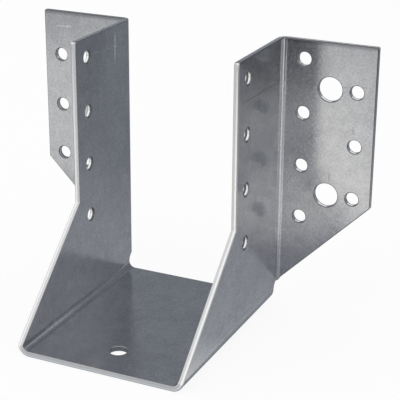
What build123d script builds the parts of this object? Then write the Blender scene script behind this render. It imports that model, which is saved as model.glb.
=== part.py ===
from build123d import *
import os
from math import pi, radians

# Driving dimensions, in millimetres
joist_width = 60.0  # clear width between the side plates
joist_height = 100.0  # seat to the top of the side plates
sheet = 2.0  # thickness of the steel
seat_bend_radius = 2.5  # inside radius of the folds between the seat and the side plates
flange_bend_radius = 1.5  # inside radius of the folds between the side plates and the flanges
seat_depth = 84.0  # header face to the seat's front edge
plate_depth = 42.0  # header face to the front edge of a side plate's upper half
shoulder_height = 40.5  # seat to the level where the sloping edges begin
flange_width = 35.0  # side plate's outer face to the flange's outer edge
flange_foot = 7.0  # seat to the end of the flange's sloping edge, at the fold
seat_setback = 4.5  # header face to the seat's rear edge
relief_radius = 3.0  # rounded notch between the flange's fold and the seat's fold
nail_diameter = 5.0
bolt_diameter = 9.0
seat_hole_diameter = 6.5
nail_pitch = 20.0  # between the rows of nail holes
edge_margin = 7.0  # edge of the sheet to the centre of a nail hole
fold_margin = 8.0  # side plate's outer face to the flange's inner column of nail holes
plate_margin = 8.0  # side plate's front edge to its column of nail holes
seat_margin = 14.5  # seat's front edge to its hole

# Degrees by which the sloping cuts run into the seat's fold, and into the flange's fold as far as the relief
seat_fold_turn = 15.0
flange_fold_turn = 75.0
spare_turn = 10.0  # by which a cut runs past the end of a fold
cutter_overlap = 1.0

# Fold geometry: the sheet's outer and middle radii
seat_outer_radius = seat_bend_radius + sheet
seat_middle_radius = seat_bend_radius + sheet / 2
flange_outer_radius = flange_bend_radius + sheet
flange_middle_radius = flange_bend_radius + sheet / 2

# Faces and levels; the origin is on the ground below the middle of the hanger's depth
inner_face = joist_width / 2
outer_face = inner_face + sheet
rear = seat_depth / 2
front = rear - seat_depth
top = sheet + joist_height
shoulder = sheet + shoulder_height
foot = sheet + flange_foot

# Edges where the flat panels end and the folds begin
seat_side = inner_face - seat_bend_radius
seat_rear = rear - seat_setback
plate_bottom = seat_outer_radius
plate_rear = rear - flange_outer_radius
plate_front = rear - plate_depth
flange_side = inner_face + flange_outer_radius
flange_edge = outer_face + flange_width

# Slopes, measured on the flat sheet: the side plate's reaches the seat's front edge part way round the fold
slope_drop = shoulder - plate_bottom + seat_middle_radius * radians(seat_fold_turn)
plate_slope = (plate_front - front) / slope_drop
plate_toe = plate_front - plate_slope * (shoulder - plate_bottom)
flange_slope = (shoulder - foot) / (flange_edge - flange_side)


def flange_bottom(x):
    """Height of the flange's sloping lower edge at x."""
    return foot + flange_slope * (x - flange_side)


def column(first, pitch, lowest):
    """Heights of a column of holes, from first downwards, none of them below lowest."""
    count = int((first - lowest) / pitch) + 1
    return [first - pitch * row for row in range(count)]


# Hole positions: the outer column and the bolts are half a pitch below the inner column
inner_column = outer_face + fold_margin
outer_column = flange_edge - edge_margin
bolt_column = (inner_column + outer_column) / 2
bolt_margin = edge_margin + (bolt_diameter - nail_diameter) / 2
first_row = top - edge_margin
staggered_row = first_row - nail_pitch / 2
inner_rows = column(first_row, nail_pitch, flange_bottom(inner_column) + edge_margin)
outer_rows = column(staggered_row, nail_pitch, flange_bottom(outer_column) + edge_margin)
bolt_rows = column(staggered_row, 2 * nail_pitch, flange_bottom(bolt_column) + bolt_margin)


def holes(diameter, centres):
    """Round holes of one diameter at the given points of a panel's sketch."""
    return [Pos(across, up) * Circle(diameter / 2) for across, up in centres]


def fold_section(bend_radius):
    """Quarter ring of sheet about a fold's centre, between +x and +y."""
    outer_radius = bend_radius + sheet
    ring = Circle(outer_radius) - Circle(bend_radius)
    return ring & Rectangle(outer_radius, outer_radius, align=Align.MIN)


def slope_cutter(slope, middle_radius, start, end, reach):
    """Solid on one side of a straight sloping cut that winds about a fold's axis, as on the flat sheet.

    The cut passes through the origin's level on the +x side. Angles run clockwise from there, and the
    cut advances along the axis with them. A negative reach takes what lies behind the cut.
    """
    pitch = slope * 2 * pi * middle_radius
    path = Helix(pitch, pitch * (end - start) / 360, middle_radius, lefthand=True)
    section = Pos(middle_radius, reach / 2) * Rectangle(sheet + 2 * cutter_overlap, abs(reach))
    cutter = sweep(Plane.XZ * section, path=path, is_frenet=True)
    return Pos(0, 0, pitch * start / 360) * Rot(0, 0, -start) * cutter


def seat():
    """Flat seat that the joist's end stands on, with one hole near its front edge."""
    outline = Pos(0, front) * Rectangle(2 * seat_side, seat_rear - front, align=(Align.CENTER, Align.MIN))
    outline -= holes(seat_hole_diameter, [(0, front + seat_margin)])
    return extrude(outline, amount=sheet)


def seat_fold():
    """Fold between the seat and a side plate; the plate's sloping edge runs into the seat's front edge."""
    section = Pos(seat_side, plate_bottom) * Rot(0, 0, -90) * fold_section(seat_bend_radius)
    fold = extrude(Plane.XZ.offset(-seat_rear) * section, amount=seat_rear - front)
    cut = slope_cutter(plate_slope, seat_middle_radius, -spare_turn, seat_fold_turn + spare_turn, seat_depth)
    return fold - Plane.XZ * Pos(seat_side, plate_bottom, -plate_toe) * cut


def side_plate():
    """Side plate: full height at the back, sloping from its shoulder to the seat, with joist nail holes."""
    outline = make_face(
        Polyline(
            (plate_rear, plate_bottom),
            (plate_rear, top),
            (plate_front, top),
            (plate_front, shoulder),
            (plate_toe, plate_bottom),
            close=True,
        )
    )
    outline -= holes(nail_diameter, [(plate_front + plate_margin, row) for row in inner_rows])
    return extrude(Plane.YZ.offset(inner_face) * outline, amount=sheet)


def flange_fold():
    """Fold between a side plate and its flange; the flange's sloping edge runs on round it."""
    section = Pos(flange_side, plate_rear) * Rot(0, 0, 90) * fold_section(flange_bend_radius)
    fold = extrude(Plane.XY.offset(plate_bottom) * section, amount=top - plate_bottom)
    cut = slope_cutter(flange_slope, flange_middle_radius, -flange_fold_turn, spare_turn, -joist_height)
    return fold - Pos(flange_side, plate_rear, foot) * Rot(0, 0, 90) * cut


def corner_relief():
    """Rounded notch that frees the flange's fold from the seat's fold."""
    width = seat_setback + 2 * relief_radius
    notch = RectangleRounded(width, width, relief_radius, align=(Align.MIN, Align.MAX))
    placed = Plane.YZ.offset(inner_face) * Pos(seat_rear, plate_bottom + relief_radius) * notch
    return extrude(placed, amount=flange_outer_radius)


def flange():
    """Flange that is fixed to the header: two staggered columns of nail holes, and bolt holes between them."""
    outline = make_face(
        Polyline(
            (flange_side, foot),
            (flange_edge, shoulder),
            (flange_edge, top),
            (flange_side, top),
            close=True,
        )
    )
    outline -= holes(nail_diameter, [(inner_column, row) for row in inner_rows])
    outline -= holes(nail_diameter, [(outer_column, row) for row in outer_rows])
    outline -= holes(bolt_diameter, [(bolt_column, row) for row in bolt_rows])
    return extrude(Plane.XZ.offset(-rear) * outline, amount=sheet)


side = seat_fold() + side_plate() + flange_fold() + flange() - corner_relief()
joist_hanger = seat() + side + mirror(side, about=Plane.YZ)

os.makedirs("parts", exist_ok=True)
export_step(joist_hanger, "parts/joist_hanger.step")
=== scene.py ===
"""Looks of the joist hanger: folded zinc-coated sheet with sheared edges, in a plain pale studio.

The sheet is meshed flat, as it is cut, and then folded, so that its folds are smooth and one grain
runs from the seat up the side plates and round to the flanges. Sizes are in millimetres until a
point is placed in the scene, which is in metres.
"""

from __future__ import annotations

import logging
import math
from collections.abc import Mapping, Sequence
from dataclasses import dataclass, field
from enum import Enum
from typing import Any

import bpy
import numpy as np
from mathutils import Matrix, Vector
from mathutils.geometry import delaunay_2d_cdt

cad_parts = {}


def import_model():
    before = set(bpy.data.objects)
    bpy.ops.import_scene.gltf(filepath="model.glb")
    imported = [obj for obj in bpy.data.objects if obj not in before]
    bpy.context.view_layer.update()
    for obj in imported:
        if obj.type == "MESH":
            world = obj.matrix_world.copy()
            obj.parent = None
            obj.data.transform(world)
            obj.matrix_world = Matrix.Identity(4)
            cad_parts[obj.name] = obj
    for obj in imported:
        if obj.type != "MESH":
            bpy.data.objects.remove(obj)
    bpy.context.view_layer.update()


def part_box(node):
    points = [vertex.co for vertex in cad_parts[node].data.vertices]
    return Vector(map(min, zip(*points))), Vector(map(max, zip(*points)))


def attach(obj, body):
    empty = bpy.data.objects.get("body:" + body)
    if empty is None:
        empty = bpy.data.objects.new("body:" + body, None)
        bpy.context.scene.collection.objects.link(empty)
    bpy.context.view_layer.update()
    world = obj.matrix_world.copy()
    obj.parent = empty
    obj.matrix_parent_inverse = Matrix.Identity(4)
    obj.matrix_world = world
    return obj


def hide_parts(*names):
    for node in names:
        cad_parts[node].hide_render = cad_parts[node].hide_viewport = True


LOG = logging.getLogger("joist_hanger")
MM = 0.001
NODE = "joist_hanger"

# Distances in millimetres that count as none
TINY = 1e-6
WELD = 1e-7

# Places of the studio's cards, in metres
CARD_REACH = 0.9
TABLE_LEVEL = -0.00005
SHADE_LEVEL = 0.00002
REAR_WALL = 0.7
NEAR_WALL = 0.1
WALL_TOP = 1.4

Point = tuple[float, float]
Place = tuple[float, float, float]
Colour = tuple[float, float, float]

WHITE: Colour = (1.0, 1.0, 1.0)
ORIGIN: Place = (0.0, 0.0, 0.0)


class Side(Enum):
    """The two mirrored halves of the hanger, by the sign of x."""

    RIGHT = 1
    LEFT = -1


class Face(Enum):
    """The two broad faces of the sheet, by the sign of n."""

    JOIST = 1
    OUTER = -1


class Axis(Enum):
    """Level directions of the scene."""

    ACROSS = (1.0, 0.0, 0.0)
    ALONG = (0.0, 1.0, 0.0)


class Attribute(Enum):
    """Values stored at the sheet's vertices for its material."""

    FLAT = "flat"
    CUT = "cut"


@dataclass(frozen=True)
class Hole:
    """A round hole of the flat sheet.

    Attributes:
        u: Place across the flat sheet, from the seat's middle.
        t: Place along the joist.
        radius: Radius of the hole.
        fewest: Least number of points round it.
    """

    u: float
    t: float
    radius: float
    fewest: int = 28

    def loop(self, chord: float) -> list[Point]:
        """Points round the hole, clockwise, so that the sheet lies to their left.

        Args:
            chord: Longest distance between two points.

        Returns:
            The points of the loop.
        """
        count = max(self.fewest, math.ceil(2 * math.pi * self.radius / chord))
        turns = [-2 * math.pi * step / count for step in range(count)]
        return [(self.u + self.radius * math.cos(a), self.t + self.radius * math.sin(a)) for a in turns]


@dataclass(frozen=True)
class Sheet:
    """The folded sheet's sizes, and the way from its flat blank to its folded form.

    A flat point has u across the blank, from the seat's middle up a side plate, t along the joist
    and on round to a flange's outer edge, and n through the sheet, towards the joist.

    Attributes:
        flange_edge: Distance of a flange's outer edge from the middle.
        rear: Place of the header's face along the joist.
        front: Place of the seat's front edge along the joist.
        top: Height of the side plates and flanges.
        thickness: Thickness of the sheet.
        seat_bend_radius: Inside radius of a fold between the seat and a side plate.
        flange_bend_radius: Inside radius of a fold between a side plate and its flange.
        inner_face: Distance of a side plate's inner face from the middle.
        plate_depth: Header's face to the front edge of a side plate's upper half.
        shoulder: Height where the sloping edges begin.
        foot: Height where a flange's sloping edge ends, at the fold.
        seat_setback: Header's face to the seat's rear edge.
        relief: Radius of the notch between a flange's fold and a seat fold.
        front_turn: Angle by which a sloping front edge runs into the seat's fold.
        nail_radius: Radius of a nail hole.
        bolt_radius: Radius of a bolt hole.
        seat_hole_radius: Radius of the seat's hole.
        nail_pitch: Distance between rows of nail holes.
        edge_margin: Edge of the sheet to the centre of a nail hole.
        fold_margin: Side plate's outer face to the flange's inner column of holes.
        plate_margin: Side plate's front edge to its column of holes.
        seat_margin: Seat's front edge to its hole.
        inner_count: Holes in a side plate's column and in a flange's inner column.
        outer_count: Holes in a flange's outer column.
        bolt_count: Bolt holes in a flange.
    """

    flange_edge: float
    rear: float
    front: float
    top: float
    thickness: float = 2.0
    seat_bend_radius: float = 2.5
    flange_bend_radius: float = 1.5
    inner_face: float = 30.0
    plate_depth: float = 42.0
    shoulder: float = 42.5
    foot: float = 9.0
    seat_setback: float = 4.5
    relief: float = 3.0
    front_turn: float = math.radians(15)
    nail_radius: float = 2.5
    bolt_radius: float = 4.5
    seat_hole_radius: float = 3.25
    nail_pitch: float = 20.0
    edge_margin: float = 7.0
    fold_margin: float = 8.0
    plate_margin: float = 8.0
    seat_margin: float = 14.5
    inner_count: int = 4
    outer_count: int = 3
    bolt_count: int = 2

    @classmethod
    def of_box(cls, low: Sequence[float], high: Sequence[float]) -> Sheet:
        """The sheet that fills the CAD node's box.

        Args:
            low: Lowest corner of the box, in metres.
            high: Highest corner of the box, in metres.

        Returns:
            The sheet, with its other sizes at their defaults.
        """
        return cls(high[0] / MM, high[1] / MM, low[1] / MM, high[2] / MM)

    @property
    def half(self) -> float:
        """Half of the sheet's thickness."""
        return self.thickness / 2

    @property
    def seat_radius(self) -> float:
        """Radius of a seat fold at the middle of the sheet."""
        return self.seat_bend_radius + self.half

    @property
    def flange_radius(self) -> float:
        """Radius of a flange fold at the middle of the sheet."""
        return self.flange_bend_radius + self.half

    @property
    def outer_face(self) -> float:
        """Distance of a side plate's outer face from the middle."""
        return self.inner_face + self.thickness

    @property
    def seat_side(self) -> float:
        """Flat place where the seat ends and its fold begins."""
        return self.inner_face - self.seat_bend_radius

    @property
    def seat_rear(self) -> float:
        """Rear edge of the seat."""
        return self.rear - self.seat_setback

    @property
    def plate_bottom(self) -> float:
        """Height where a side plate begins."""
        return self.seat_bend_radius + self.thickness

    @property
    def plate_start(self) -> float:
        """Flat place where a side plate begins."""
        return self.seat_side + self.seat_radius * math.pi / 2

    @property
    def plate_front(self) -> float:
        """Front edge of a side plate's upper half."""
        return self.rear - self.plate_depth

    @property
    def plate_rear(self) -> float:
        """Flat place where a side plate ends and its flange's fold begins."""
        return self.rear - self.thickness - self.flange_bend_radius

    @property
    def flange_start(self) -> float:
        """Flat place where a flange begins."""
        return self.plate_rear + self.flange_radius * math.pi / 2

    @property
    def flange_side(self) -> float:
        """Distance from the middle at which a flange begins."""
        return self.outer_face + self.flange_bend_radius

    @property
    def flange_end(self) -> float:
        """Flat place of a flange's outer edge."""
        return self.flat_t(self.flange_edge)

    def flat_u(self, height: float) -> float:
        """Flat place of a height on a side plate or flange."""
        return self.plate_start + height - self.plate_bottom

    def flat_t(self, across: float) -> float:
        """Flat place of a distance from the middle, on a flange."""
        return self.flange_start + across - self.flange_side

    def holes(self) -> list[Hole]:
        """Every hole of the blank: the seat's, then each half's nails and bolts.

        Returns:
            The holes at their flat places.
        """
        found = [Hole(0.0, self.front + self.seat_margin, self.seat_hole_radius)]
        first = self.flat_u(self.top - self.edge_margin)
        staggered = first - self.nail_pitch / 2
        inner = self.flat_t(self.outer_face + self.fold_margin)
        outer = self.flange_end - self.edge_margin
        full = (first, self.nail_pitch, self.inner_count, self.nail_radius)
        columns = [
            (self.plate_front + self.plate_margin, *full),
            (inner, *full),
            (outer, staggered, self.nail_pitch, self.outer_count, self.nail_radius),
            ((inner + outer) / 2, staggered, 2 * self.nail_pitch, self.bolt_count, self.bolt_radius),
        ]
        for side in Side:
            for t, start, pitch, count, radius in columns:
                found += [Hole(side.value * (start - pitch * row), t, radius) for row in range(count)]
        return found

    def relief_t(self, height: float) -> float:
        """Flat place of the relief's rounded edge at a height.

        Args:
            height: The height.

        Returns:
            The place along the joist, or on round the flange's fold.
        """
        rise = height - self.plate_bottom
        depth = self.seat_rear + self.relief - math.sqrt(max(self.relief**2 - rise**2, 0.0))
        past = depth - self.plate_rear
        if past <= 0:
            return depth
        return self.plate_rear + self.flange_radius * math.asin(past / self.flange_radius)

    def relief_edge(self) -> list[Point]:
        """The relief's edge on the right half, from the flange's slope to the seat's rear edge.

        Returns:
            Points along the edge.
        """
        top = self.plate_bottom + self.relief
        slope = (self.flange_edge - self.flange_side) / (self.shoulder - self.foot)
        found = [(self.flat_u(top), self.flange_start + (top - self.foot) * slope)]
        steps = 10
        for step in range(1, steps + 1):
            height = self.plate_bottom + self.relief * math.cos(math.pi / 2 * step / steps)
            found.append((self.flat_u(height), self.relief_t(height)))
        return found

    def half_outline(self) -> list[Point]:
        """Corners of the blank's right half, from the seat's front edge round to its rear edge.

        Returns:
            The corners in order, counter-clockwise.
        """
        shoulder = self.flat_u(self.shoulder)
        top = self.flat_u(self.top)
        return [
            (self.plate_start - self.seat_radius * self.front_turn, self.front),
            (shoulder, self.plate_front),
            (top, self.plate_front),
            (top, self.flange_end),
            (shoulder, self.flange_end),
            *self.relief_edge(),
        ]

    def outline(self) -> list[Point]:
        """Corners of the whole blank, counter-clockwise."""
        right = self.half_outline()
        return right + [(-u, t) for u, t in reversed(right)]

    def place(self, u: float, t: float, n: float) -> tuple[Vector, Matrix]:
        """Folds a flat point.

        Args:
            u: Place across the blank.
            t: Place along the joist.
            n: Place through the sheet, from its middle.

        Returns:
            The point in millimetres, and the directions of u, t and n there as a matrix's columns.
        """
        run = abs(u)
        if run <= self.seat_side:
            spot = (run, t, self.half + n)
            along_u, along_t, along_n = (1, 0, 0), (0, 1, 0), (0, 0, 1)
        elif run < self.plate_start:
            turn = (run - self.seat_side) / self.seat_radius
            reach = self.seat_radius - n
            sine, cosine = math.sin(turn), math.cos(turn)
            spot = (self.seat_side + reach * sine, t, self.plate_bottom - reach * cosine)
            along_u, along_t, along_n = (cosine, 0, sine), (0, 1, 0), (-sine, 0, cosine)
        elif t <= self.plate_rear:
            spot = (self.inner_face + self.half - n, t, self.plate_bottom + run - self.plate_start)
            along_u, along_t, along_n = (0, 0, 1), (0, 1, 0), (-1, 0, 0)
        else:
            height = self.plate_bottom + run - self.plate_start
            turn = min((t - self.plate_rear) / self.flange_radius, math.pi / 2)
            past = max(t - self.flange_start, 0.0)
            reach = self.flange_radius + n
            sine, cosine = math.sin(turn), math.cos(turn)
            spot = (self.flange_side - reach * cosine + past, self.plate_rear + reach * sine, height)
            along_u, along_t, along_n = (0, 0, 1), (sine, cosine, 0), (-cosine, sine, 0)
        point = Vector(spot)
        axes = Matrix((along_u, along_t, along_n)).transposed()
        if u < 0:
            flip = Matrix.Diagonal((-1, 1, 1))
            point = flip @ point
            axes = flip @ axes @ Matrix.Diagonal((-1, 1, 1))
        return point, axes


@dataclass(frozen=True)
class Ring:
    """One line of vertices round a sheared edge.

    Attributes:
        inset: Distance from the cut, into the sheet.
        n: Place through the sheet.
        lean: Turn of the normal from n towards the outside.
        cut: Share of cut surface in the material, from 0 to 1.
    """

    inset: float
    n: float
    lean: float
    cut: float


@dataclass(frozen=True)
class Shear:
    """Section of a sheared edge: rolled over on the punch's side, with a crisp rim on the other.

    Attributes:
        rollover: Radius of the rolled-over side.
        rim: Radius of the rim.
        rollover_steps: Spans of vertices round the rolled-over side.
        rim_steps: Spans of vertices round the rim.
    """

    rollover: float = 0.38
    rim: float = 0.18
    rollover_steps: int = 4
    rim_steps: int = 2

    def rings(self, half: float) -> list[Ring]:
        """Lines of vertices from the joist's side of the sheet to the other.

        Args:
            half: Half of the sheet's thickness.

        Returns:
            The rings in order.
        """
        right_angle = math.pi / 2
        found = [Ring(self.rollover, half, 0.0, 0.0)]
        for step in range(self.rim_steps + 1):
            turned = step / self.rim_steps
            lean = right_angle * turned
            inset = self.rim * (1 - math.sin(lean))
            found.append(Ring(inset, half - self.rim * (1 - math.cos(lean)), lean, turned))
        found.append(Ring(0.0, 0.0, right_angle, 1.0))
        for step in range(self.rollover_steps + 1):
            turned = step / self.rollover_steps
            lean = right_angle * (1 + turned)
            inset = self.rollover * (1 - math.sin(lean))
            found.append(Ring(inset, self.rollover * (1 + math.cos(lean)) - half, lean, 1 - turned))
        return found


@dataclass
class Blank:
    """Mesh of the flat blank, kept as flat points, outward normals and faces.

    Attributes:
        sheet: Sizes of the sheet.
        shear: Section of its sheared edges.
        corner_radius: Radius of the outline's sharp corners.
        corner_steps: Spans of points round such a corner.
        blunt: Turn below which a corner is left as it is.
        coarse: Longest distance between points on a flat panel.
        fine: Longest distance between points across a fold.
        hole_chord: Longest distance between points round a hole.
        clearance: Least distance of an inner point from an edge.
        least_cosine: Least cosine between an offset and a side's normal, which limits sharp corners.
        flats: Flat points of the vertices.
        leans: Their outward normals, in the flat directions.
        cuts: Their shares of cut surface.
        faces: Faces, as numbers of vertices.
    """

    sheet: Sheet
    shear: Shear = field(default_factory=Shear)
    corner_radius: float = 0.5
    corner_steps: int = 5
    blunt: float = math.radians(15)
    coarse: float = 3.0
    fine: float = 0.5
    hole_chord: float = 0.7
    clearance: float = 0.8
    least_cosine: float = 0.5
    flats: list[Place] = field(default_factory=list)
    leans: list[Place] = field(default_factory=list)
    cuts: list[float] = field(default_factory=list)
    faces: list[tuple[int, ...]] = field(default_factory=list)

    def fold_bands(self) -> tuple[tuple[float, float], tuple[float, float]]:
        """Flat spans of the seat's fold in u, and of a flange's fold in t."""
        sheet = self.sheet
        return (sheet.seat_side, sheet.plate_start), (sheet.plate_rear, sheet.flange_start)

    def rounded(self, corners: Sequence[Point]) -> list[Point]:
        """Rounds the sharp corners of a loop.

        Args:
            corners: Corners in order.

        Returns:
            The loop with a short arc at each sharp corner.
        """
        found: list[Point] = []
        count = len(corners)
        for index, corner in enumerate(corners):
            here = Vector(corner)
            before = (here - Vector(corners[index - 1])).normalized()
            after = (Vector(corners[(index + 1) % count]) - here).normalized()
            turn = before.angle(after)
            if turn < self.blunt:
                found.append(corner)
                continue
            start = here - before * self.corner_radius * math.tan(turn / 2)
            aside = (after - before * math.cos(turn)).normalized()
            for step in range(self.corner_steps + 1):
                part = turn * step / self.corner_steps
                bend = before * math.sin(part) + aside * (1 - math.cos(part))
                found.append(tuple(start + bend * self.corner_radius))
        return found

    def split(self, loop: Sequence[Point]) -> list[Point]:
        """Adds points along a loop's sides, close together where they cross a fold.

        Args:
            loop: Points in order.

        Returns:
            The loop with its added points.
        """
        across, along = self.fold_bands()
        lines_u = [sign * u for sign in (-1, 1) for u in across]
        found: list[Point] = []
        for index, start in enumerate(loop):
            end = loop[(index + 1) % len(loop)]
            shares = {0.0, 1.0}
            for axis, lines in ((0, lines_u), (1, along)):
                rise = end[axis] - start[axis]
                if abs(rise) > TINY:
                    shares |= {(line - start[axis]) / rise for line in lines}
            marks = sorted(share for share in shares if 0.0 <= share <= 1.0)
            length = math.dist(start, end)
            for low, high in zip(marks, marks[1:]):
                middle = [start[axis] + (end[axis] - start[axis]) * (low + high) / 2 for axis in (0, 1)]
                folded = across[0] < abs(middle[0]) < across[1] or along[0] < middle[1] < along[1]
                step = self.fine if folded else self.coarse
                pieces = max(1, math.ceil(length * (high - low) / step - TINY))
                for piece in range(pieces):
                    share = low + (high - low) * piece / pieces
                    found.append(tuple(start[axis] + (end[axis] - start[axis]) * share for axis in (0, 1)))
        return [spot for index, spot in enumerate(found) if math.dist(spot, found[index - 1]) > TINY]

    def outward(self, loop: Sequence[Point]) -> list[Vector]:
        """Outward direction at each point of a loop, long enough to offset both of its sides evenly.

        Args:
            loop: Points in order, with the sheet to their left.

        Returns:
            One direction for each point.
        """
        found = []
        count = len(loop)
        for index, spot in enumerate(loop):
            before = Vector(spot) - Vector(loop[index - 1])
            after = Vector(loop[(index + 1) % count]) - Vector(spot)
            first = Vector((before.y, -before.x)).normalized()
            second = Vector((after.y, -after.x)).normalized()
            middle = (first + second).normalized()
            found.append(middle / max(middle.dot(first), self.least_cosine))
        return found

    def add(self, flat: Place, lean: Place, cut: float) -> int:
        """Adds one vertex.

        Args:
            flat: Flat point.
            lean: Normal in the flat directions.
            cut: Share of cut surface.

        Returns:
            The vertex's number.
        """
        self.flats.append(flat)
        self.leans.append(lean)
        self.cuts.append(cut)
        return len(self.flats) - 1

    def edge(self, loop: Sequence[Point]) -> tuple[list[int], list[int], list[Point]]:
        """Builds the sheared edge along a loop.

        Args:
            loop: Points in order, with the sheet to their left.

        Returns:
            The first ring's vertices, the last ring's, and the flat points that both stand on.
        """
        outs = self.outward(loop)
        rows: list[list[int]] = []
        rings = self.shear.rings(self.sheet.half)
        for ring in rings:
            row = []
            for spot, out in zip(loop, outs):
                side = out.normalized() * math.sin(ring.lean)
                place = Vector(spot) - out * ring.inset
                lean = (side.x, side.y, math.cos(ring.lean))
                row.append(self.add((place.x, place.y, ring.n), lean, ring.cut))
            rows.append(row)
        count = len(loop)
        for upper, lower in zip(rows, rows[1:]):
            for index in range(count):
                after = (index + 1) % count
                self.faces.append((upper[index], lower[index], lower[after], upper[after]))
        inset = [tuple(Vector(spot) - out * rings[0].inset) for spot, out in zip(loop, outs)]
        return rows[0], rows[-1], inset

    def lattice(self, loops: Sequence[Sequence[Point]]) -> list[Point]:
        """Inner points of the broad faces, in rows that are close together across a fold.

        Args:
            loops: The outline and the holes, already inset.

        Returns:
            Points inside the outline and clear of every loop.
        """
        sheet = self.sheet
        across, along = self.fold_bands()
        top = sheet.flat_u(sheet.top)
        right = self.spaced((0.0, *across, top))
        us = np.array([-u for u in reversed(right[1:])] + right)
        ts = np.array(self.spaced((sheet.front, *along, sheet.flange_end)))
        u, t = (axis.ravel() for axis in np.meshgrid(us, ts))
        inside = np.zeros(u.shape, dtype=bool)
        for loop in loops:
            for index, (u1, t1) in enumerate(loop):
                u0, t0 = loop[index - 1]
                if t0 != t1:
                    crosses = (t0 > t) != (t1 > t)
                    inside ^= crosses & (u < (u1 - u0) * (t - t0) / (t1 - t0) + u0)
        nearest = np.full(u.shape, np.inf)
        for loop in loops:
            for spot in loop:
                nearest = np.minimum(nearest, np.hypot(u - spot[0], t - spot[1]))
        keep = inside & (nearest > self.clearance)
        return list(zip(u[keep].tolist(), t[keep].tolist()))

    def spaced(self, marks: tuple[float, float, float, float]) -> list[float]:
        """Positions through four marks, fine between the middle two.

        Args:
            marks: The marks in order.

        Returns:
            The positions in order.
        """
        found = [marks[0]]
        for low, high, step in zip(marks, marks[1:], (self.coarse, self.fine, self.coarse)):
            count = math.ceil((high - low) / step)
            found += [low + (high - low) * number / count for number in range(1, count + 1)]
        return found

    def build(self) -> None:
        """Builds the sheared edges of the outline and the holes, then both broad faces between them."""
        loops = [self.split(self.rounded(self.sheet.outline()))]
        loops += [hole.loop(self.hole_chord) for hole in self.sheet.holes()]
        near: list[int] = []
        far: list[int] = []
        insets: list[list[Point]] = []
        for loop in loops:
            first, last, inset = self.edge(loop)
            near += first
            far += last
            insets.append(inset)
        spots = [spot for inset in insets for spot in inset]
        borders, start = [], 0
        for inset in insets:
            borders.append(list(range(start, start + len(inset))))
            start += len(inset)
        half = self.sheet.half
        for u, t in self.lattice(insets):
            spots.append((u, t))
            near.append(self.add((u, t, half), (0.0, 0.0, 1.0), 0.0))
            far.append(self.add((u, t, -half), (0.0, 0.0, -1.0), 0.0))
        inside_without_holes = 2
        result = delaunay_2d_cdt([Vector(spot) for spot in spots], [], borders, inside_without_holes, WELD)
        origins = [origin[0] for origin in result[3]]
        for corners in result[2]:
            numbers = [origins[corner] for corner in corners]
            self.faces.append(tuple(near[number] for number in numbers))
            self.faces.append(tuple(far[number] for number in reversed(numbers)))


class Signal:
    """An output socket, so that shader maths reads as Python expressions."""

    def __init__(self, paint: Painter, socket: bpy.types.NodeSocket | None) -> None:
        """Keeps the socket and the painter of its tree."""
        self.paint = paint
        self.socket = socket

    def math(self, operation: str, first: Value, second: Value = 0.0) -> Signal:
        """A Math node's value for one operation."""
        return self.paint.node("ShaderNodeMath", {"operation": operation}, {0: first, 1: second})

    def __add__(self, other: Value) -> Signal:
        """Sum."""
        return self.math("ADD", self, other)

    def __radd__(self, other: Value) -> Signal:
        """Sum, from the right."""
        return self.math("ADD", other, self)

    def __sub__(self, other: Value) -> Signal:
        """Difference."""
        return self.math("SUBTRACT", self, other)

    def __rsub__(self, other: Value) -> Signal:
        """Difference, from the right."""
        return self.math("SUBTRACT", other, self)

    def __mul__(self, other: Value) -> Signal:
        """Product."""
        return self.math("MULTIPLY", self, other)

    def __rmul__(self, other: Value) -> Signal:
        """Product, from the right."""
        return self.math("MULTIPLY", other, self)

    def __truediv__(self, other: Value) -> Signal:
        """Quotient."""
        return self.math("DIVIDE", self, other)

    def __abs__(self) -> Signal:
        """Size without its sign."""
        return self.math("ABSOLUTE", self)

    def most(self, other: Value) -> Signal:
        """The greater of two values."""
        return self.math("MAXIMUM", self, other)

    def step(self, low: float, high: float) -> Signal:
        """Rises smoothly from 0 to 1.

        Args:
            low: Value at which the result is 0.
            high: Value at which it is 1, on either side of low.

        Returns:
            The result.
        """
        rising = {0: self, 1: min(low, high), 2: max(low, high)}
        ends = {3: 0.0, 4: 1.0} if low < high else {3: 1.0, 4: 0.0}
        return self.paint.node("ShaderNodeMapRange", {"interpolation_type": "SMOOTHSTEP"}, rising | ends)


Value = float | Signal | Sequence[float]


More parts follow.
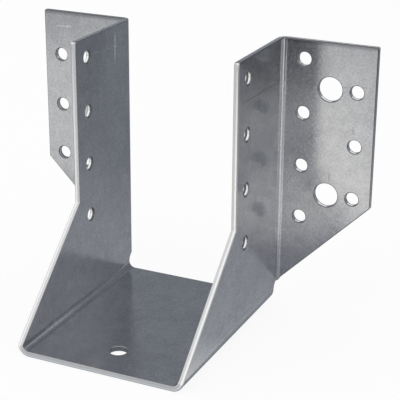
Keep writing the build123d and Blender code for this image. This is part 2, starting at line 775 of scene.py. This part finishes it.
@dataclass
class Painter:
    """Adds nodes to one node tree."""

    tree: bpy.types.NodeTree

    @classmethod
    def of_material(cls, name: str) -> tuple[bpy.types.Material, Painter]:
        """Makes a material with an empty tree.

        Args:
            name: The material's name.

        Returns:
            The material, and the painter of its tree.
        """
        material = bpy.data.materials.new(name)
        material.use_nodes = True
        material.node_tree.nodes.clear()
        return material, cls(material.node_tree)

    def node(
        self,
        kind: str,
        settings: Mapping[str, Any] | None = None,
        inputs: Mapping[str | int, Value] | None = None,
        output: str | int = 0,
    ) -> Signal:
        """Makes a node, sets it, and then fills its sockets.

        Args:
            kind: The node's type.
            settings: Properties that are set first; stops are a ramp's positions and colours.
            inputs: Values or signals by socket name or number.
            output: Socket that is returned.

        Returns:
            The chosen output.
        """
        made = self.tree.nodes.new(kind)
        for name, value in (settings or {}).items():
            if name == "stops":
                self.set_stops(made.color_ramp, value)
            else:
                setattr(made, name, value)
        for name, value in (inputs or {}).items():
            socket = made.inputs[name]
            if isinstance(value, Signal):
                self.tree.links.new(value.socket, socket)
            else:
                socket.default_value = value
        return Signal(self, made.outputs[output] if made.outputs else None)

    @staticmethod
    def set_stops(ramp: bpy.types.ColorRamp, stops: Sequence[tuple[float, Colour]]) -> None:
        """Gives a ramp its positions and colours.

        Args:
            ramp: The ramp.
            stops: Positions from 0 to 1, each with its colour.
        """
        while len(ramp.elements) < len(stops):
            ramp.elements.new(1.0)
        for element, (position, colour) in zip(ramp.elements, stops):
            element.position = position
            element.color = (*colour, 1.0)

    def mix(self, first: Colour | Signal, second: Colour | Signal, share: Value) -> Signal:
        """Colour between two colours.

        Args:
            first: Colour at share 0.
            second: Colour at share 1.
            share: Share of the second colour.

        Returns:
            The mixed colour.
        """
        sockets = {0: share, 6: self.colour(first), 7: self.colour(second)}
        return self.node("ShaderNodeMix", {"data_type": "RGBA"}, sockets, 2)

    def vector(self, operation: str, first: Value, second: Value = ORIGIN, output: str | int = 0) -> Signal:
        """A Vector Math node's result for one operation."""
        return self.node("ShaderNodeVectorMath", {"operation": operation}, {0: first, 1: second}, output)

    def scaled(self, vector: Signal, factors: Place) -> Signal:
        """A vector with each part times its factor."""
        return self.vector("MULTIPLY", vector, factors)

    def parts(self, vector: Signal) -> list[Signal]:
        """The three parts of a vector."""
        return [self.node("ShaderNodeSeparateXYZ", None, {0: vector}, axis) for axis in range(3)]

    def noise(self, vector: Signal, scale: float, detail: float = 2.0) -> Signal:
        """Noise from 0 to 1 at a scale in cells per unit of the vector."""
        return self.node("ShaderNodeTexNoise", None, {"Vector": vector, "Scale": scale, "Detail": detail})

    @staticmethod
    def colour(value: Colour | Signal) -> Value:
        """A colour as its socket takes it."""
        return value if isinstance(value, Signal) else (*value, 1.0)


@dataclass(frozen=True)
class Mark:
    """A straight scratch, scuff, painted highlight or line of painted shade on one face of the sheet.

    Attributes:
        face: Face that it is on.
        start: Flat point of one end.
        end: Flat point of the other end.
        width: Half of its width.
        strength: How much it shows; a dark mark has a negative one.
        patchy: How far it is broken up along its length, from 0 to 1.
        taper: Share of its length over which each end fades.
        surface: Place through the sheet at which it shows in full.
        gap_scale: Cells of its gaps in each millimetre across it.
        gap_stretch: The same along it, as a share of those across it.
        gap_span: Noise at which a gap ends, and at which the mark shows in full.
    """

    face: Face
    start: Point
    end: Point
    width: float
    strength: float
    patchy: float = 0.0
    taper: float = 0.2
    surface: float = 0.9
    gap_scale: float = 1.6
    gap_stretch: float = 0.1
    gap_span: Point = (0.35, 0.65)

    def mask(self, paint: Painter, flat: Signal) -> Signal:
        """Share of the mark at a flat point.

        Args:
            paint: Painter of the material.
            flat: The flat point.

        Returns:
            A value that is the mark's strength on its line and 0 away from it.
        """
        u, t, n = paint.parts(flat)
        length = math.dist(self.start, self.end)
        du, dt = ((b - a) / length for a, b in zip(self.start, self.end))
        off_u, off_t = u - self.start[0], t - self.start[1]
        beside = abs(off_u * dt - off_t * du)
        along = off_u * du + off_t * dt
        shown = along.step(0.0, length * self.taper) * along.step(length, length * (1 - self.taper))
        shown = shown * beside.step(self.width, 0.0) * (n * self.face.value).step(0.0, self.surface)
        if self.patchy:
            squeeze = 1 - self.gap_stretch
            factors = (abs(dt) * squeeze + self.gap_stretch, abs(du) * squeeze + self.gap_stretch, 0.0)
            gaps = paint.noise(paint.scaled(flat, factors), self.gap_scale).step(*self.gap_span)
            shown = shown * (1 - self.patchy + gaps * self.patchy)
        return shown * abs(self.strength)


@dataclass(frozen=True)
class Mottle:
    """One layer of the zinc's mottling.

    Attributes:
        scale: Cells in each millimetre.
        tone: How far it moves the colour from dull to pale.
        blur: How far it roughens the zinc.
        height: Its share of the relief.
        detail: Number of finer layers within it.
    """

    scale: float
    tone: float
    blur: float = 0.0
    height: float = 0.0
    detail: float = 2.0

    def noise(self, paint: Painter, flat: Signal) -> Signal:
        """The layer's noise, from 0 to 1."""
        return paint.noise(flat, self.scale, self.detail)


@dataclass(frozen=True)
class EdgeFinish:
    """Sheared edges: burnished, then torn, with painted shade on the rims and painted light on the front
    edges and plate tops.

    A span has the place where a finish ends, and then the place from which it is full.

    Attributes:
        burnished: Colour of the burnished zone.
        torn: Colour of the torn zone's pale grains.
        torn_dark: Colour of the torn zone's dark grains.
        torn_end_painted_light: Colour of the torn zone on the front edges and on the side plates' tops,
            painted lighter as light.
        rolled: Colour of the side that is rolled over, painted dark as shade along the rims.
        rolled_front_shade: The same on the front edges, a lighter painted shade.
        rolled_top_shade: The same on the flanges' tops, a darker painted shade.
        stain_and_shade: Colour of the painted shade below the flanges' tops.
        top_shading: Share of that painted shade.
        front_span: Span of the front edges along the joist.
        hole_span: Span of the side plates' holes along the joist.
        flange_span: Span of the flanges along the joist and round the fold.
        plate_span: Span of the side plates along the joist.
        top_shade_span: Span of the painted shade below the flanges' tops, as distances below the top.
        end_span: Span of the side plates' tops, as distances below the top.
        burnish_span: Span of the burnished zone through the sheet.
        wander: How far the burnished zone's limit wanders.
        wander_scale: Cells of that wandering in each millimetre.
        front_shift: How far the limit is shifted on the front edges.
        hole_shift: The same in the side plates' holes, where it narrows the burnished zone as painted shade.
        rim_span: Span of the rolled side, as shares of cut surface.
        wall_span: Span of the cut wall, as shares of cut surface.
        tearing: How far torn steel is rougher than the zinc.
    """

    burnished: Colour = (0.88, 0.885, 0.905)
    torn: Colour = (0.20, 0.20, 0.205)
    torn_dark: Colour = (0.08, 0.08, 0.085)
    torn_end_painted_light: Colour = (0.66, 0.66, 0.66)
    rolled: Colour = (0.19, 0.19, 0.195)
    rolled_front_shade: Colour = (0.45, 0.45, 0.45)
    rolled_top_shade: Colour = (0.11, 0.11, 0.115)
    stain_and_shade: Colour = (0.28, 0.28, 0.29)
    top_shading: float = 0.7
    front_span: Point = (2.0, 0.0)
    hole_span: Point = (20.0, 15.0)
    flange_span: Point = (39.0, 42.0)
    plate_span: Point = (42.0, 38.0)
    top_shade_span: Point = (1.8, 0.5)
    end_span: Point = (1.0, 0.5)
    burnish_span: Point = (0.62, 0.46)
    wander: float = 0.5
    wander_scale: float = 0.4
    front_shift: float = 0.3
    hole_shift: float = 0.25
    rim_span: Point = (0.0, 0.25)
    wall_span: Point = (0.7, 1.0)
    tearing: float = 0.2

    def lay(
        self,
        paint: Painter,
        flat: Signal,
        top: float,
        grain: Signal,
        broad: Signal,
    ) -> tuple[Signal, Signal]:
        """Lays the edges' colours, with their painted light and shade, over the colour of the broad faces.

        Args:
            paint: Painter of the material.
            flat: The flat point.
            top: Flat place of the side plates' and flanges' tops.
            grain: Noise of the torn zone's grains.
            broad: Colour of the broad faces.

        Returns:
            The colour of the whole sheet, and what torn steel adds to its roughness.
        """
        across, along, depth = paint.parts(flat)
        cut = paint.node("ShaderNodeAttribute", {"attribute_name": Attribute.CUT.value}, None, "Fac")
        below = top - abs(across)
        front = along.step(*self.front_span)
        holes = along.step(*self.hole_span) * (1 - front)
        # The band just below the flanges' tops, which takes painted shade
        tops = below.step(*self.top_shade_span) * along.step(*self.flange_span)
        # Front edges and side plates' tops, where the torn zone is painted lighter
        ends = front.most(below.step(*self.end_span) * along.step(*self.plate_span))
        wander = paint.noise(paint.scaled(flat, (1.0, 1.0, 0.0)), self.wander_scale) * self.wander
        # In the side plates' holes the shift narrows the burnished zone: painted shade
        limit = depth + wander + front * self.front_shift + holes * self.hole_shift
        burnish = limit.step(*self.burnish_span)
        tear = paint.mix(paint.mix(self.torn_dark, self.torn, grain), self.torn_end_painted_light, ends)
        wall = paint.mix(tear, self.burnished, burnish)
        # Painted shade along the rims: lighter on the front edges, darkest on the flanges' tops
        rim = paint.mix(paint.mix(self.rolled, self.rolled_front_shade, front), self.rolled_top_shade, tops)
        # Painted shade on the zinc below the flanges' tops
        colour = paint.mix(broad, self.stain_and_shade, tops * self.top_shading)
        colour = paint.mix(colour, rim, cut.step(*self.rim_span))
        colour = paint.mix(colour, wall, cut.step(*self.wall_span))
        return colour, cut * (1 - burnish) * self.tearing


@dataclass(frozen=True)
class ZincFinish:
    """Zinc coating on rolled sheet: satin and mottled, scratched and scuffed, with painted highlights and
    shade at its folds.

    Attributes:
        name: The material's name.
        pale: Palest colour of the mottling.
        dull: Dullest colour of the mottling.
        rubbed_and_highlight: Colour of the bright marks: scratches, scuffs and painted highlights.
        stain_and_shade: Colour of the dark marks: stains and painted shade.
        grain: Mottling of the size of the zinc's grains.
        fine: Mottling that is finer than the grains.
        patch: Mottling in patches of several grains.
        cloud: Mottling in broad clouds.
        dullness: How far the mottling is shifted to the dull colour.
        roughness: Roughness of the zinc at its smoothest.
        scuffing: How far a bright mark roughens the zinc.
        relief: Height of the relief, in metres.
        relief_strength: How strongly the relief shows.
        edges: Finish of the sheared edges.
        marks: Scratches, scuffs and stains, and painted highlights and shade along the folds.
    """

    name: str = "galvanised_steel"
    pale: Colour = (0.697, 0.697, 0.712)
    dull: Colour = (0.496, 0.497, 0.513)
    rubbed_and_highlight: Colour = (0.78, 0.80, 0.84)
    stain_and_shade: Colour = (0.28, 0.28, 0.29)
    grain: Mottle = Mottle(1.2, tone=1.6, blur=0.08, height=0.6)
    fine: Mottle = Mottle(2.4, tone=0.7, blur=0.04, height=0.4)
    patch: Mottle = Mottle(0.28, tone=0.9, detail=3.0)
    cloud: Mottle = Mottle(0.06, tone=0.8)
    dullness: float = 1.5
    roughness: float = 0.112
    scuffing: float = 0.3
    relief: float = 0.00002
    relief_strength: float = 0.6
    edges: EdgeFinish = EdgeFinish()
    marks: tuple[Mark, ...] = (
        # Left flange and left side plate
        Mark(Face.OUTER, (-124.6, 71.0), (-125.2, 63.0), 0.3, 0.8),
        Mark(Face.JOIST, (-129.0, 28.7), (-115.5, 28.3), 0.4, 1.7, 0.1),
        Mark(Face.JOIST, (-124.0, 8.5), (-122.5, 31.0), 0.3, 0.55, 0.4),
        # Right side plate and right flange
        Mark(Face.OUTER, (115.9, 1.5), (115.2, 36.0), 0.5, -0.6),
        Mark(Face.OUTER, (114.1, 57.0), (116.1, 75.0), 0.3, -0.5),
        Mark(Face.OUTER, (82.6, 60.0), (78.9, 60.1), 0.6, -0.5),
        Mark(Face.OUTER, (101.2, 68.1), (97.8, 68.2), 0.5, -0.45),
        # Foot of the right side plate
        Mark(Face.OUTER, (34.0, -34.0), (34.0, 38.0), 1.2, 1.0, 0.9),
        Mark(Face.OUTER, (35.5, -30.0), (37.5, 36.0), 0.8, 0.6, 0.9),
        Mark(Face.OUTER, (36.5, -38.0), (39.0, 32.0), 2.0, 0.3, 0.9),
        Mark(Face.OUTER, (42.5, 1.8), (35.0, 0.2), 1.6, -0.25, 0.5),
        Mark(Face.OUTER, (40.5, -8.0), (36.5, -16.0), 1.4, -0.28, 0.5),
        # Fold between the seat and the left side plate: painted shade in the crease and two lines of painted
        # highlight
        Mark(Face.JOIST, (-30.2, -16.0), (-30.2, 60.0), 3.2, -0.5),
        Mark(Face.JOIST, (-31.2, -26.0), (-31.2, 8.0), 0.35, 0.6, 0.8),
        Mark(Face.JOIST, (-29.4, -22.0), (-29.4, 4.0), 0.3, 0.5, 0.8),
        # Folds of the flanges: die marks, with a painted highlight along each fold
        Mark(Face.OUTER, (20.0, 41.4), (135.0, 41.4), 0.35, 0.55, 0.5),
        Mark(Face.OUTER, (-20.0, 41.4), (-135.0, 41.4), 0.35, 0.55, 0.5),
    )

    def material(self, sheet: Sheet) -> bpy.types.Material:
        """Builds the finish as a material.

        Args:
            sheet: The sheet that it covers.

        Returns:
            The material.
        """
        material, paint = Painter.of_material(self.name)
        flat = paint.node("ShaderNodeAttribute", {"attribute_name": Attribute.FLAT.value}, None, "Vector")
        grain, fine = self.grain.noise(paint, flat), self.fine.noise(paint, flat)
        patch, cloud = self.patch.noise(paint, flat), self.cloud.noise(paint, flat)
        share = grain * self.grain.tone + fine * self.fine.tone
        share = share + patch * self.patch.tone + cloud * self.cloud.tone - self.dullness
        broad = paint.mix(self.dull, self.pale, share)
        rough = self.roughness + grain * self.grain.blur + fine * self.fine.blur
        for mark in self.marks:
            mask = mark.mask(paint, flat)
            # Bright marks take the colour of scratches and painted highlights, dark ones that of stains and
            # painted shade
            broad = paint.mix(broad, self.rubbed_and_highlight if mark.strength > 0 else self.stain_and_shade, mask)
            if mark.strength > 0:
                rough = rough + mask * self.scuffing
        colour, torn = self.edges.lay(paint, flat, sheet.flat_u(sheet.top), grain, broad)
        height = grain * self.grain.height + fine * self.fine.height
        bump = paint.node(
            "ShaderNodeBump",
            None,
            {"Strength": self.relief_strength, "Distance": self.relief, "Height": height},
        )
        shader = paint.node(
            "ShaderNodeBsdfPrincipled",
            None,
            {"Base Color": colour, "Metallic": 1.0, "Roughness": rough + torn, "Normal": bump},
        )
        paint.node("ShaderNodeOutputMaterial", None, {"Surface": shader})
        return material


@dataclass
class JoistHanger:
    """The hanger: one folded sheet."""

    sheet: Sheet
    finish: ZincFinish = field(default_factory=ZincFinish)
    name: str = "hanger_sheet"
    piece: bpy.types.Object | None = None

    def build(self) -> None:
        """Meshes the blank, folds it and stands it in for the CAD node."""
        blank = Blank(self.sheet)
        blank.build()
        places = [self.sheet.place(*flat) for flat in blank.flats]
        mesh = bpy.data.meshes.new(self.name)
        mesh.from_pydata([point * MM for point, _ in places], [], blank.faces)
        mesh.shade_smooth()
        mesh.normals_split_custom_set_from_vertices(
            [(axes @ Vector(lean)).normalized() for (_, axes), lean in zip(places, blank.leans)]
        )
        flat = mesh.attributes.new(Attribute.FLAT.value, "FLOAT_VECTOR", "POINT")
        flat.data.foreach_set("vector", [value for spot in blank.flats for value in spot])
        cut = mesh.attributes.new(Attribute.CUT.value, "FLOAT", "POINT")
        cut.data.foreach_set("value", blank.cuts)
        self.piece = bpy.data.objects.new(self.name, mesh)
        bpy.context.scene.collection.objects.link(self.piece)
        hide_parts(NODE)
        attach(self.piece, "root")

    def dress(self) -> None:
        """Gives the sheet its zinc finish."""
        self.piece.data.materials.append(self.finish.material(self.sheet))


def board(name: str, corners: Sequence[Place], material: bpy.types.Material) -> bpy.types.Object:
    """Makes a flat piece of the stage with four corners.

    Args:
        name: The piece's name.
        corners: Its corners in order, in metres.
        material: Its material.

    Returns:
        The piece.
    """
    mesh = bpy.data.meshes.new(name)
    mesh.from_pydata(corners, [], [(0, 1, 2, 3)])
    mesh.materials.append(material)
    made = bpy.data.objects.new(name, mesh)
    bpy.context.scene.collection.objects.link(made)
    return made


@dataclass(frozen=True)
class Fade:
    """Tones of a card, measured along an axis or outwards from a point.

    Attributes:
        tones: Distances in metres, with the grey at each.
        axis: Direction in which they are measured, or None for all round.
        heart: Point that they are measured from, in metres.
        dark_tint: Tint of the darkest greys.
        pale_tint: Tint of the palest greys.
        tint_power: How late the dark tint sets in as a grey darkens.
    """

    tones: tuple[Point, ...]
    axis: Axis | None = None
    heart: Place = ORIGIN
    dark_tint: Colour = (0.89, 0.985, 1.17)
    pale_tint: Colour = (1.0, 0.999, 0.99)
    tint_power: float = 1.4

    def colour(self, paint: Painter, place: Signal) -> Signal:
        """The tone at a place.

        Args:
            paint: Painter of the card's tree.
            place: Position on the card.

        Returns:
            The tone's colour.
        """
        first, last = self.tones[0][0], self.tones[-1][0]
        away = paint.vector("SUBTRACT", place, self.heart)
        if self.axis is None:
            distance = paint.vector("LENGTH", away, output="Value")
        else:
            distance = paint.vector("DOT_PRODUCT", away, self.axis.value, output="Value")
        stops = [((spot - first) / (last - first), self.shade(tone)) for spot, tone in self.tones]
        return paint.node("ShaderNodeValToRGB", {"stops": stops}, {0: (distance - first) / (last - first)})

    def shade(self, tone: float) -> Colour:
        """A grey's colour, between the two tints.

        Args:
            tone: The grey, from 0 to 1.

        Returns:
            The colour.
        """
        share = (1 - tone) ** self.tint_power
        tints = zip(self.pale_tint, self.dark_tint)
        return tuple(tone * (pale + (dark - pale) * share) for pale, dark in tints)


@dataclass(frozen=True)
class Card:
    """A glowing card that only the metal's reflections show, with painted light and shade in its tones.

    Attributes:
        name: The card's name.
        low: Lowest corner, in metres.
        high: Highest corner, in metres; one of the three spans is zero.
        fades: Its tones, which are multiplied.
    """

    name: str
    low: Place
    high: Place
    fades: tuple[Fade, ...]

    def build(self) -> None:
        """Makes the card and hides it from the camera, diffuse rays, shadows and transmission."""
        (x0, y0, z0), (x1, y1, z1) = self.low, self.high
        if z0 == z1:
            corners = [(x0, y0, z0), (x1, y0, z0), (x1, y1, z0), (x0, y1, z0)]
        else:
            corners = [(x0, y0, z0), (x1, y1, z0), (x1, y1, z1), (x0, y0, z1)]
        card = board(self.name, corners, self.material())
        card.visible_camera = False
        card.visible_diffuse = False
        card.visible_shadow = False
        card.visible_transmission = False

    def material(self) -> bpy.types.Material:
        """Makes a material that shows the card's tones.

        Returns:
            The card's material.
        """
        material, paint = Painter.of_material(self.name)
        place = paint.node("ShaderNodeNewGeometry", None, None, "Position")
        colour = self.fades[0].colour(paint, place)
        for fade in self.fades[1:]:
            colour = paint.vector("MULTIPLY", colour, fade.colour(paint, place))
        glow = paint.node("ShaderNodeEmission", None, {"Color": colour, "Strength": 1.0})
        paint.node("ShaderNodeOutputMaterial", None, {"Surface": glow})
        return material


@dataclass(frozen=True)
class Softbox:
    """An area lamp that faces the hanger.

    Attributes:
        name: The lamp's name.
        place: Its place, in metres.
        size: Its width, in metres.
        power: Its power, in watts.
    """

    name: str
    place: Place
    size: float
    power: float

    def build(self, aim: Vector) -> None:
        """Makes the lamp.

        Args:
            aim: Point that it faces.
        """
        lamp = bpy.data.lights.new(self.name, "AREA")
        lamp.size = self.size
        lamp.energy = self.power
        holder = bpy.data.objects.new(self.name, lamp)
        holder.location = self.place
        holder.rotation_euler = (aim - Vector(self.place)).to_track_quat("-Z", "Y").to_euler()
        holder.visible_glossy = False
        bpy.context.scene.collection.objects.link(holder)


@dataclass
class Studio:
    """Pale floor, white surround, soft lamps, glowing cards that paint light and shade into the metal's
    reflections, and the camera.

    Attributes:
        floor_reach: Distance of the floor's sides from the middle, in metres.
        floor_drop: Depth of the floor below the hanger.
        floor_tone: Colour of the floor as a matt surface.
        floor_white: Share of plain white that the camera and the metal see in the floor.
        fill: Level of the white surround as light.
        aim: Point that the lamps face.
        camera_place: Place of the camera.
        camera_azimuth: Turn of the camera about the vertical, in degrees.
        camera_tilt: Tilt of the camera from straight down.
        camera_roll: Roll of the camera about its own axis.
        camera_lens: Focal length, in millimetres.
        camera_clip: Nearest distance that the camera sees.
        sensor: Width of the camera's sensor, in millimetres.
        softboxes: The lamps.
        cards: The cards, which paint light and shade into the metal's reflections.
    """

    floor_reach: float = 3.0
    floor_drop: float = 0.0001
    floor_tone: Colour = (0.82, 0.82, 0.82)
    floor_white: float = 0.90
    fill: float = 0.9
    aim: Place = (0.0, 0.0, 0.045)
    camera_place: Place = (0.190966, -0.373617, 0.211109)
    camera_azimuth: float = 24.828
    camera_tilt: float = 68.828
    camera_roll: float = 0.416
    camera_lens: float = 114.695
    camera_clip: float = 0.01
    sensor: float = 36.0
    softboxes: tuple[Softbox, ...] = (
        Softbox("top_softbox", (-0.35, -0.45, 0.85), 0.7, 1.8),
        Softbox("left_softbox", (-0.9, -0.2, 0.5), 0.6, 1.2),
    )
    cards: tuple[Card, ...] = (
        # Painted light and shade of the floor as the metal reflects it: bright in front, shadow near and
        # behind the hanger, darker to the left and round a point at the front right
        Card(
            "table_card",
            (-CARD_REACH, -CARD_REACH, TABLE_LEVEL),
            (CARD_REACH, CARD_REACH, TABLE_LEVEL),
            (
                Fade(
                    (
                        (-0.36, 0.66), (-0.30, 0.84), (-0.25, 0.95), (-0.20, 1.0), (-0.10, 1.0),
                        (-0.06, 0.9), (-0.03, 0.72), (-0.012, 0.50), (0.0, 0.39), (0.06, 0.345),
                        (0.10, 0.32), (0.14, 0.275), (0.20, 0.24), (0.30, 0.20), (0.40, 0.18),
                    ),
                    Axis.ALONG,
                ),
                Fade(((-0.30, 0.70), (-0.22, 0.78), (-0.15, 0.82), (-0.05, 0.97), (0.0, 1.0)), Axis.ACROSS),
                Fade(
                    (
                        (0.0, 0.03), (0.10, 0.06), (0.12, 0.08), (0.15, 0.13), (0.165, 0.28),
                        (0.18, 0.66), (0.20, 0.74), (0.24, 0.54), (0.27, 0.40), (0.31, 0.84),
                        (0.34, 1.0),
                    ),
                    heart=(0.28, -0.30, 0.0),
                ),
            ),
        ),
        # A bright strip on the table to the right, so that the flanges' folds show a painted highlight
        Card(
            "table_strip",
            (0.085, -0.035, SHADE_LEVEL),
            (0.65, 0.13, SHADE_LEVEL),
            (Fade(((0.085, 0.75), (0.14, 0.95), (0.65, 1.0)), Axis.ACROSS),),
        ),
        # Painted contact shadow under the seat and along its front edge, which the metal reflects
        Card(
            "painted_contact_shadow",
            (-0.0345, -0.042, SHADE_LEVEL),
            (0.0345, 0.042, SHADE_LEVEL),
            (Fade(((-0.0345, 0.12), (0.02, 0.12), (0.029, 0.27), (0.0345, 0.30)), Axis.ACROSS),),
        ),
        Card(
            "front_shade",
            (-0.034, -0.05, SHADE_LEVEL),
            (0.034, -0.042, SHADE_LEVEL),
            (Fade(((-0.05, 0.8), (-0.042, 0.5)), Axis.ALONG),),
        ),
        # Dark cards behind the hanger: painted dark reflections, lighter round a point on the right card
        Card(
            "rear_left_card",
            (-CARD_REACH, REAR_WALL, 0.0),
            (-0.22, REAR_WALL, WALL_TOP),
            (Fade(((-0.9, 0.22), (-0.22, 0.25)), Axis.ACROSS),),
        ),
        Card(
            "rear_top_card",
            (-0.22, REAR_WALL, 0.42),
            (0.28, REAR_WALL, WALL_TOP),
            (Fade(((-0.22, 0.22), (0.28, 0.22)), Axis.ACROSS),),
        ),
        Card(
            "rear_right_card",
            (0.28, REAR_WALL, 0.0),
            (CARD_REACH, REAR_WALL, WALL_TOP),
            (
                Fade(
                    ((0.0, 0.48), (0.08, 0.42), (0.13, 0.36), (0.2, 0.24), (0.8, 0.15)),
                    heart=(0.44, REAR_WALL, 0.45),
                ),
            ),
        ),
        # Dark cards just behind the hanger: painted dark reflections
        Card(
            "near_card",
            (-0.08, NEAR_WALL, 0.015),
            (0.015, NEAR_WALL, 0.092),
            (Fade(((-0.08, 0.255), (0.015, 0.25)), Axis.ACROSS),),
        ),
        Card(
            "near_top_card",
            (-0.03, NEAR_WALL, 0.1165),
            (0.08, NEAR_WALL, 0.25),
            (Fade(((-0.03, 0.22), (0.08, 0.24)), Axis.ACROSS),),
        ),
    )

    def shown(self, paint: Painter) -> Signal:
        """1 for what the camera, the metal and glass see, 0 for the light on surfaces.

        Args:
            paint: Painter of the tree.

        Returns:
            The switch.
        """
        rays = [
            paint.node("ShaderNodeLightPath", None, None, name)
            for name in ("Is Camera Ray", "Is Glossy Ray", "Is Transmission Ray")
        ]
        return rays[0].most(rays[1]).most(rays[2])

    def build_floor(self) -> None:
        """Lays the floor, which is white to the camera and keeps a faint shadow."""
        material, paint = Painter.of_material("floor")
        matt = paint.node("ShaderNodeBsdfDiffuse", None, {"Color": paint.colour(self.floor_tone)})
        white = paint.node("ShaderNodeEmission", None, {"Color": paint.colour(WHITE), "Strength": 1.0})
        share = self.shown(paint) * self.floor_white
        mixed = paint.node("ShaderNodeMixShader", None, {0: share, 1: matt, 2: white})
        paint.node("ShaderNodeOutputMaterial", None, {"Surface": mixed})
        reach, drop = self.floor_reach, -self.floor_drop
        corners = [(-reach, -reach, drop), (reach, -reach, drop), (reach, reach, drop), (-reach, reach, drop)]
        floor = board("floor", corners, material)

    def build_world(self) -> None:
        """Surrounds the scene with white, at a low level as light."""
        world = bpy.data.worlds.new("studio")
        world.use_nodes = True
        world.node_tree.nodes.clear()
        bpy.context.scene.world = world
        paint = Painter(world.node_tree)
        strength = self.fill + self.shown(paint) * (1.0 - self.fill)
        sky = paint.node("ShaderNodeBackground", None, {"Color": paint.colour(WHITE), "Strength": strength})
        paint.node("ShaderNodeOutputWorld", None, {"Surface": sky})

    def build_camera(self) -> None:
        """Sets the camera at the photo's place and angle."""
        camera = bpy.data.cameras.new("camera")
        camera.sensor_width = self.sensor
        camera.lens = self.camera_lens
        camera.clip_start = self.camera_clip
        holder = bpy.data.objects.new("camera", camera)
        turn = Matrix.Rotation(math.radians(self.camera_azimuth), 4, "Z")
        turn = turn @ Matrix.Rotation(math.radians(self.camera_tilt), 4, "X")
        turn = turn @ Matrix.Rotation(math.radians(self.camera_roll), 4, "Z")
        holder.matrix_world = Matrix.Translation(self.camera_place) @ turn
        bpy.context.scene.collection.objects.link(holder)
        bpy.context.scene.camera = holder

    def build(self) -> None:
        """Builds the studio and its plain view settings."""
        self.build_floor()
        self.build_world()
        for softbox in self.softboxes:
            softbox.build(Vector(self.aim))
        for card in self.cards:
            card.build()
        self.build_camera()
        bpy.context.scene.view_settings.view_transform = "Standard"


def main() -> None:
    """Builds the hanger and the studio."""
    logging.basicConfig(level=logging.INFO)
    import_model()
    hanger = JoistHanger(Sheet.of_box(*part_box(NODE)))
    hanger.build()
    hanger.dress()
    mesh = hanger.piece.data
    LOG.info("%s: %d vertices, %d faces", hanger.name, len(mesh.vertices), len(mesh.polygons))
    Studio().build()


if __name__ == "__main__":
    main()
